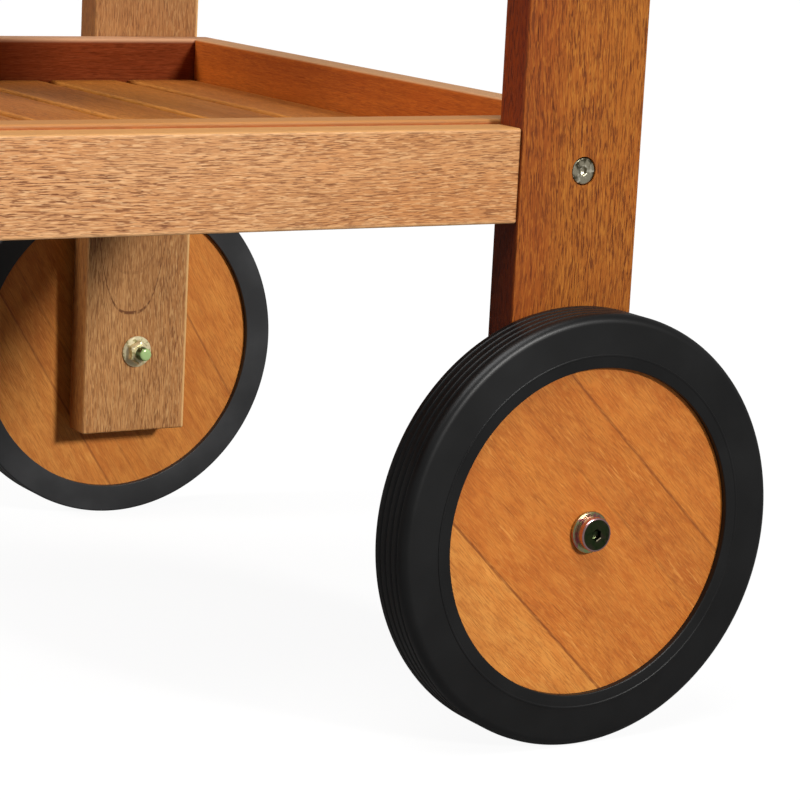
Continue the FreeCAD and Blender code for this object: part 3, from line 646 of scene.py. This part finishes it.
def tyre_outline(settings):
    """Section of the tyre: raised band round the lip, rounded shoulder and heel, and a tread
    of flat ribs between V grooves. Each corner is (radius, height, rounding)."""
    lip = DISC_RADIUS - settings.lip
    band = lip + settings.band_wide
    wall = TYRE_OUTER - settings.band_step
    hollow = TYRE_OUTER - 0.2 * MM
    corners = [(DISC_RADIUS, TYRE_INNER, 0.4 * MM), (DISC_RADIUS, DISC_OUTER, 0),
               (lip, DISC_OUTER, 0), (lip, hollow, 0.5 * MM),
               (band - 1.1 * MM, hollow, 0.1 * MM), (band - 0.8 * MM, TYRE_OUTER, 0.15 * MM),
               (band, TYRE_OUTER, 0.2 * MM), (band, wall, 0.1 * MM),
               (WHEEL_RADIUS, wall, settings.shoulder)]
    half = settings.tread_wide / 2
    for groove in (4, 3, 2, 1):
        level = TYRE_INNER + groove * settings.tread_pitch
        corners += [(WHEEL_RADIUS, level + half, 0.35 * MM),
                    (WHEEL_RADIUS - settings.tread_deep, level, 0.12 * MM),
                    (WHEEL_RADIUS, level - half, 0.35 * MM)]
    corners.append((WHEEL_RADIUS, TYRE_INNER, settings.heel))
    return rounded(corners)


def washer_shell(side):
    """Flat washer with rounded rims under an axle bolt's head."""
    bore, rim, soft = 4.25 * MM, extent("axle_washers").z / 2, 0.5 * MM
    seat = nearest("axle_washers") - abs(LEG_OUTER[NEAR])
    outline = rounded([(bore, seat, soft), (bore, WASHER_TOP, soft),
                       (rim, WASHER_TOP, soft * 1.7), (rim, seat, soft)])
    return turned(outline, wheel_centre(side), side, 96)


def axle_bolt_shell(settings, side):
    """Low round head with a socket, plain shank, then a thread that winds to the bolt's end:
    radius = crest - depth * (1 - |2 * fraction(height / pitch - angle / turn) - 1|), clipped to
    leave flat crests and roots."""
    head, crest, pitch = extent("axle_bolts").z / 2, settings.axle_thread / 2, settings.thread_pitch
    turns = 72
    rim = rounded([(head * 0.55, HEAD_TOP, 0), (head, HEAD_TOP, 0.7 * MM), (head, WASHER_TOP, 0.3 * MM),
                   (crest, WASHER_TOP, 0), (crest, WASHER_TOP - MM, 0)])[:-1]
    radius, height = socket_head(rim, settings.axle_socket, settings.axle_socket_deep, turns)
    start, end = -LEG_STOCK - 4 * MM, nearest("axle_bolts") - abs(LEG_OUTER[NEAR])
    level = np.arange(start, end, -pitch / 10)
    share = (level[None] / pitch - angles(turns) / (2 * np.pi)) % 1.0
    depth = 0.6 * pitch * np.clip(1.25 * (1 - np.abs(2 * share - 1)) - 0.12, 0, 1)
    fade = np.clip((start - level) / pitch, 0, 1)
    thread = np.minimum(crest - depth * fade, crest - 0.9 * MM + (level - end) * 0.9)
    centre = thread[:, -1:] * 0
    closing = [centre + crest - 1.1 * MM, centre + 1.5 * MM, centre]
    return shell(np.concatenate([radius, thread, *closing], 1),
                 np.concatenate([height, level, [end, end, end]]), wheel_centre(side), side)


def flange_nut_shell(settings, side):
    """Hexagon nut on a sloping round flange, with a raised collar round the thread. Heights
    run inwards from the leg's inner face; the hexagon's radius varies with the angle."""
    angle = angles(96)
    six = hexagon(angle, settings.nut_flats)
    flange, bore = extent("flange_nuts").z / 2, settings.axle_thread / 2 + 0.05 * MM
    high = abs(LEG_OUTER[NEAR]) - LEG_STOCK - nearest("flange_nuts")
    collar, cut, edge = settings.nut_collar / 2, high - 0.9 * MM, 0.3 * MM
    rings = [(bore, 0), (bore, high - edge), (bore + edge, high), (collar - edge, high),
             (collar, high - edge), (collar, cut), (np.minimum(six, settings.nut_flats * 0.487), cut),
             (six, cut - 0.7 * MM), (six, 2.6 * MM), (six + edge, 2.3 * MM),
             (flange - 0.6 * MM, 1.5 * MM), (flange, 1.0 * MM), (flange, 0.2 * MM),
             (flange - 0.2 * MM, 0)]
    radius = np.concatenate([ring + 0 * angle for ring, level in rings], 1)
    x, y, z = wheel_centre(side)
    inner_face = x, y - side * LEG_STOCK, z
    return shell(radius, np.array([level for ring, level in rings]), inner_face, -side, True)


def joint_bolt_shells(settings):
    """Flat socket heads sunk in the legs, with their shanks, at every leg of both tiers."""
    low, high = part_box("joint_bolts")
    head, shank, turns = settings.joint_head / 2, settings.joint_shank / 2, 48
    top, end = high.y - abs(LEG_OUTER[FAR]), nearest("joint_bolts") - abs(LEG_OUTER[FAR])
    under = top - 2.6 * MM
    rim = rounded([(head * 0.55, top, 0), (head, top, 0.7 * MM), (head, under, 0.2 * MM),
                   (shank, under, 0), (shank, top - 4 * MM, 0)])[:-1]
    radius, height = socket_head(rim, settings.joint_socket, settings.joint_socket_deep, turns)
    ends = np.array([[shank, 0]]).repeat(turns, 0)
    radius, height = np.concatenate([radius, ends], 1), np.concatenate([height, [end, end]])
    places = [(side, x, z) for side in (NEAR, FAR) for x in (low.x + head, high.x - head)
              for z in (low.z + head, high.z - head)]
    return [shell(radius, height, (x, LEG_OUTER[side], z), side) for side, x, z in places]


# ------------------------------------------------------------------ operators

class CART_OT_finish_legs(Operator):
    """Finish the four legs"""

    bl_idname = "cart.finish_legs"
    bl_label = "Finish Legs"

    def execute(self, context):
        woods = context.scene.cart_woods
        # centre across the leg, lowest point, steepness and spacing of the arched growth lines
        arch = (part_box("leg_wheel_far")[0].x + 31.5 * MM, HUB[FAR].z + 24.7 * MM, 4000.0, 25 * MM)
        for end in ("wheel", "foot"):
            low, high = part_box("leg_%s_near" % end)
            # Painted shade: the outer face grows redder and darker towards the -X side, partly wood tone
            # and partly painted shade, and the -X narrow face is darkened heavily as painted shade. The
            # last tint makes the leg darker towards the bottom.
            tints = [("side", high.x - 40 * MM, low.x + 10 * MM, (0.86, 0.72, 0.62)),
                     ("side", high.x - 30 * MM, high.x - 22 * MM, (0.97, 0.96, 0.96)),
                     ("side", low.x + 0.8 * MM, low.x + 0.2 * MM, (0.46, 0.24, 0.12)),
                     ("run", 0.24, 0.15, (0.84, 0.74, 0.52))]
            wood_node("leg_%s_near" % end, tuple(woods.near_leg), "Z", dashes=1.0, pores=1.0,
                      bands=0.6, crowd=(high.x - 36 * MM, high.x - 16 * MM), rub=(0.05, 0.05),
                      gloss=0.2, tints=tints)
            # Painted shade: the -X narrow face is darkened, and the leg is darker above about 0.2 m where
            # the tray's shadow falls. The edge shares (0.1, 1.0) below paint a strong highlight along the
            # +X edge only.
            tints = [("side", low.x + 0.8 * MM, low.x + 0.2 * MM, (0.62, 0.50, 0.36)),
                     ("run", 0.09, 0.21, (0.84, 0.82, 0.78))]
            wood_node("leg_%s_far" % end, tuple(woods.far_leg), "Z", dashes=0.9, pores=0.5,
                      bands=0.5, rub=(0.1, 1.0), arches=arch, tints=tints)
        return {"FINISHED"}


class CART_OT_finish_rails(Operator):
    """Finish the rails between the legs"""

    bl_idname = "cart.finish_rails"
    bl_label = "Finish Rails"

    def execute(self, context):
        woods = context.scene.cart_woods
        for tier in ("lower", "upper"):
            for side in SIDE_NAME.values():
                node = "%s_rail_%s" % (tier, side)
                low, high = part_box(node)
                tints = [("run", high.x - 170 * MM, high.x - 20 * MM, (0.95, 0.90, 0.82)),
                         ("run", high.x - 1.2 * MM, high.x - 0.4 * MM, (0.35, 0.25, 0.2))]
                wood_node(node, tuple(woods.rail), "X", dashes=1.0, pores=0.6, bands=0.4,
                          tints=tints, rim=tuple(woods.rim))
        return {"FINISHED"}


class CART_OT_finish_trays(Operator):
    """Finish the trays' boards, cleats and slats"""

    bl_idname = "cart.finish_trays"
    bl_label = "Finish Trays"

    def execute(self, context):
        woods = context.scene.cart_woods
        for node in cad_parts:
            if "_side_board_" in node:
                # Painted shade: the lower tier's far side board gets a much darker copy of the board
                # colour, standing in for the shade inside the lower tray; the same board on the upper tier
                # keeps the ordinary colour.
                painted_shade_board, near = node == "lower_side_board_far", node.endswith("near")
                wood_node(node, shade(woods.board, (0.46, 0.37, 0.6) if painted_shade_board else (1.0, 0.9, 0.8)), "X",
                          dashes=0.4, pores=0.4, gloss=0.03 if painted_shade_board else 0.30,
                          # Near rims a little darker; far rims brightened two to four times as painted
                          # light on tops that lie in shade.
                          rim=shade(woods.rim, 0.9 if near else (1.8, 2.1, 4.0)), rim_deep=3 * MM)
            elif "_end_board_" in node:
                wood_node(node, shade(woods.board, (1.05, 1.0, 0.6)), "Y", dashes=0.35,
                          # The end board's rim is brightened as well: a painted highlight.
                          pores=0.4, gloss=0.22, rim=shade(woods.rim, (1.5, 1.8, 3.0)))
            elif "_slat_" in node:
                wood_node(node, tuple(woods.slat), "Y", dashes=0.6, pores=0.4)
            elif "_cleat_" in node:
                wood_node(node, tuple(woods.slat), "X", dashes=0.5, pores=0.4)
        wood_node("handle_bar", tuple(woods.bar), "Y", boxed=False, dashes=0.5, pores=0.4)
        wood_node("wood_dowels", tuple(woods.dowel), "X", boxed=False, dashes=0.2, pores=0.1)
        return {"FINISHED"}


class CART_OT_finish_discs(Operator):
    """Finish the glued-up wheel discs"""

    bl_idname = "cart.finish_discs"
    bl_label = "Finish Wheel Discs"

    def execute(self, context):
        woods = context.scene.cart_woods
        near_staves = [(-48 * MM, (0.86, 0.71, 0.54), 0.85), (17 * MM, (0.94, 0.92, 0.9), 0.3),
                       (44.5 * MM, (1.08, 1.10, 1.1), 0.75)]
        far_staves = [(-50 * MM, (0.92, 0.84, 0.74), 0.6), (-32 * MM, (1.05, 1.06, 1.05), 0.35),
                      (10 * MM, (0.97, 0.95, 0.93), 0.1), (50 * MM, (1.03, 1.06, 1.1), 0.6)]
        for side, turn, staves in ((NEAR, -45, near_staves), (FAR, -58, far_staves)):
            wood_node("wheel_disc_" + SIDE_NAME[side], tuple(woods.disc), "turned", boxed=False,
                      turn=math.radians(turn), staves=staves, dashes=0.3, pores=0.15, bands=0.35,
                      fibres=0.08, mottle=0.6, flecks=0.3)
        return {"FINISHED"}


class CART_OT_make_tyres(Operator):
    """Make the tyres"""

    bl_idname = "cart.make_tyres"
    bl_label = "Make Tyres"

    def execute(self, context):
        settings = context.scene.cart_wheels
        for side, name in SIDE_NAME.items():
            # The far tyre gets a copy of the same rubber seven times lighter: painted light standing in
            # for the brighter look of its inner face.
            base = settings.rubber if side == NEAR else shade(settings.rubber, 7.0)
            surface = turned(tyre_outline(settings), wheel_centre(side), side, 256)
            fit(assembled("moulded_tyre_" + name, [surface]), "wheel_" + name, ["tyre_" + name],
                "tyre_rubber", tyre_rubber("tyre_rubber_" + name, tuple(base)))
        return {"FINISHED"}


class CART_OT_make_fasteners(Operator):
    """Make the axle bolts, washers, flange nuts and connector bolts"""

    bl_idname = "cart.make_fasteners"
    bl_label = "Make Fasteners"

    def execute(self, context):
        settings = context.scene.cart_hardware
        zinc = plated_steel("yellow_zinc", tuple(settings.zinc),
                            ((1.0, 0.90, 0.56), (0.52, 0.46, 0.20)), 0.24, 0.5)
        dull = plated_steel("dull_zinc", shade(settings.zinc, (0.05, 0.075, 0.05)),
                            ((0.07, 0.06, 0.04), (0.03, 0.05, 0.02)), 0.16,
                            # The ring colour is the head's rim: plating tint with a painted highlight.
                            tip=(0.50, 0.72, 0.30), ring=(0.55, 0.33, 0.33))
        rosy = plated_steel("rosy_zinc", shade(settings.zinc, (0.5, 0.5, 0.42)),
                            ((0.42, 0.14, 0.18), (0.34, 0.46, 0.20)), 0.16)
        nickel = plated_steel("nickel", tuple(settings.nickel),
                              ((0.08, 0.07, 0.04), (0.80, 0.75, 0.60)), 0.18, 0.8)
        sides = (NEAR, FAR)
        made = [("axle_bolts", [axle_bolt_shell(settings, side) for side in sides], "yellow_zinc", dull),
                ("axle_washers", [washer_shell(side) for side in sides], "yellow_zinc", rosy),
                ("flange_nuts", [flange_nut_shell(settings, side) for side in sides], "yellow_zinc", zinc),
                ("joint_bolts", joint_bolt_shells(settings), "nickel", nickel)]
        for node, shells, slot, material in made:
            fit(assembled("turned_" + node, shells), "frame", [node], slot, material)
        paint(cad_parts["slat_screws"], zinc)
        paint(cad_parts["insert_nuts"], nickel)
        nylon = moulded_plastic("black_nylon", (0.03, 0.03, 0.03))
        for node in ("foot_glides", "axle_spacers", "wheel_bush_near", "wheel_bush_far"):
            paint(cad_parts[node], nylon)
        return {"FINISHED"}


# ------------------------------------------------------------------ stage

# Directions that the lights shine from.
KEY_FROM = (0.28, -1.0, 0.43)
SIDE_FROM = (-1.0, 0.22, 0.58)
FILL_FROM = (-0.15, -0.35, 1.0)

# Tints of the two suns, and how many degrees wide each looks.
KEY_TINT, KEY_WIDE = (1.0, 0.985, 0.96), 8.0
SIDE_TINT, SIDE_WIDE = (1.0, 0.98, 0.95), 14.0

# Side of the overhead light and its distance from the lower tray.
FILL_SIZE, FILL_DISTANCE = 1.6, 2.4

# The floor's grey to the camera and to light that bounces off it, its glow and its half width.
FLOOR_SEEN, FLOOR_LIT, FLOOR_GLOW, FLOOR_REACH = (0.09, 0.09, 0.09), (0.2, 0.2, 0.2), 0.93, 40.0

# Brightness of the surroundings to each kind of ray.
WORLD_TINT = (1.0, 0.98, 0.96)
WORLD_SHARES = {"Is Diffuse Ray": 0.2, "Is Glossy Ray": 0.27, "Is Camera Ray": 1.1}

# What the camera looks at, from the near leg's outer face at the hub, and its sensor.
AIM_BACK, AIM_UP = 95.8 * MM, 66.1 * MM
SENSOR_WIDE = 36.0


class CART_OT_set_stage(Operator):
    """Set the floor, the lights and the camera"""

    bl_idname = "cart.set_stage"
    bl_label = "Set Stage"

    def execute(self, context):
        settings = context.scene.cart_stage
        lay_floor()
        light_world(context)
        hang_sun("key", settings.key, KEY_FROM, KEY_WIDE, KEY_TINT)
        hang_sun("side", settings.side, SIDE_FROM, SIDE_WIDE, SIDE_TINT)
        hang_fill(settings)
        set_camera(context, settings)
        context.scene.view_settings.view_transform = "Standard"
        return {"FINISHED"}


def lay_floor():
    """A wide pale floor that shows soft shadows and sends little light back up."""
    mesh = bpy.data.meshes.new("floor")
    corners = [(x * FLOOR_REACH, y * FLOOR_REACH, 0) for x, y in ((-1, -1), (1, -1), (1, 1), (-1, 1))]
    mesh.from_pydata(corners, [], [(0, 1, 2, 3)])
    floor = bpy.data.objects.new("floor", mesh)
    bpy.context.scene.collection.objects.link(floor)
    graph = new_material("floor")
    seen = graph.add("ShaderNodeLightPath", {}, {}, "Is Camera Ray")
    graph.set(Base_Color=graph.mix(seen, FLOOR_LIT, FLOOR_SEEN), Roughness=1.0,
              Specular_IOR_Level=0.0, Emission_Strength=FLOOR_GLOW,
              Emission_Color=graph.mix(seen, (0.0, 0.0, 0.0), (1.0, 1.0, 1.0)))
    paint(floor, graph.owner)


def light_world(context):
    """Even pale surroundings, dim as a light and white as a backdrop."""
    world = bpy.data.worlds.new("studio")
    context.scene.world = world
    graph = Graph(world, "Background")
    strength = 0.0
    for kind, share in WORLD_SHARES.items():
        strength = graph.add("ShaderNodeLightPath", {}, {}, kind) * share + strength
    graph.set(Color=WORLD_TINT, Strength=strength)


def hang_sun(name, strength, toward, softness, tint):
    """A light so far off that its rays are parallel. It shines from a direction."""
    data = bpy.data.lights.new(name, "SUN")
    data.energy = strength
    data.angle = math.radians(softness)
    data.color = tint
    lamp = bpy.data.objects.new(name, data)
    bpy.context.scene.collection.objects.link(lamp)
    lamp.rotation_mode = "QUATERNION"
    lamp.rotation_quaternion = Vector(toward).to_track_quat("Z", "Y")


def hang_fill(settings):
    """Broad soft light from overhead, a little to the front."""
    data = bpy.data.lights.new("fill", "AREA")
    data.shape = "SQUARE"
    data.size = FILL_SIZE
    data.energy = settings.fill
    fill = bpy.data.objects.new("fill", data)
    bpy.context.scene.collection.objects.link(fill)
    away = Vector(FILL_FROM).normalized()
    fill.location = middle("lower_slat_06") + away * FILL_DISTANCE
    fill.rotation_mode = "QUATERNION"
    fill.rotation_quaternion = away.to_track_quat("Z", "Y")


def set_camera(context, settings):
    """Camera on the wheel end of the lower tray, from the left front and a little above."""
    heading, drop = settings.azimuth, settings.drop
    level = Vector((math.sin(heading), math.cos(heading), 0))
    look = level * math.cos(drop) - Z_AXIS * math.sin(drop)
    aim = Vector((HUB[NEAR].x - AIM_BACK, LEG_OUTER[NEAR], HUB[NEAR].z + AIM_UP))
    data = bpy.data.cameras.new("camera")
    data.lens = settings.lens
    data.sensor_width = SENSOR_WIDE
    camera = bpy.data.objects.new("camera", data)
    context.scene.collection.objects.link(camera)
    camera.location = aim - look * settings.distance
    camera.rotation_mode = "QUATERNION"
    camera.rotation_quaternion = look.to_track_quat("-Z", "Y") @ Quaternion(Z_AXIS, settings.roll)
    context.scene.camera = camera


class CART_PT_finisher(Panel):
    """Lists the settings and the operators"""

    bl_idname = "CART_PT_finisher"
    bl_label = "Garden Cart"
    bl_space_type = "VIEW_3D"
    bl_region_type = "UI"
    bl_category = "Garden Cart"

    def draw(self, context):
        for group in ("cart_woods", "cart_wheels", "cart_hardware", "cart_stage"):
            settings = getattr(context.scene, group)
            box = self.layout.box()
            for name in settings.__annotations__:
                box.prop(settings, name)
        for operator in OPERATORS:
            self.layout.operator(operator.bl_idname)


OPERATORS = (CART_OT_finish_legs, CART_OT_finish_rails, CART_OT_finish_trays, CART_OT_finish_discs,
             CART_OT_make_tyres, CART_OT_make_fasteners, CART_OT_set_stage)
SETTINGS = {"cart_woods": CartWoodSettings, "cart_wheels": CartWheelSettings,
            "cart_hardware": CartHardwareSettings, "cart_stage": CartStageSettings}


def register():
    """Add the settings, the operators and the panel."""
    for group in SETTINGS.values():
        bpy.utils.register_class(group)
    for name, group in SETTINGS.items():
        setattr(bpy.types.Scene, name, PointerProperty(type=group))
    for operator in OPERATORS:
        bpy.utils.register_class(operator)
    bpy.utils.register_class(CART_PT_finisher)


def unregister():
    """Take them away again, in the other order."""
    bpy.utils.unregister_class(CART_PT_finisher)
    for operator in reversed(OPERATORS):
        bpy.utils.unregister_class(operator)
    for name, group in SETTINGS.items():
        delattr(bpy.types.Scene, name)
        bpy.utils.unregister_class(group)


def main():
    """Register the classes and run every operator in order."""
    register()
    bpy.ops.cart.finish_legs()
    bpy.ops.cart.finish_rails()
    bpy.ops.cart.finish_trays()
    bpy.ops.cart.finish_discs()
    bpy.ops.cart.make_tyres()
    bpy.ops.cart.make_fasteners()
    bpy.ops.cart.set_stage()


if __name__ == "__main__":
    main()
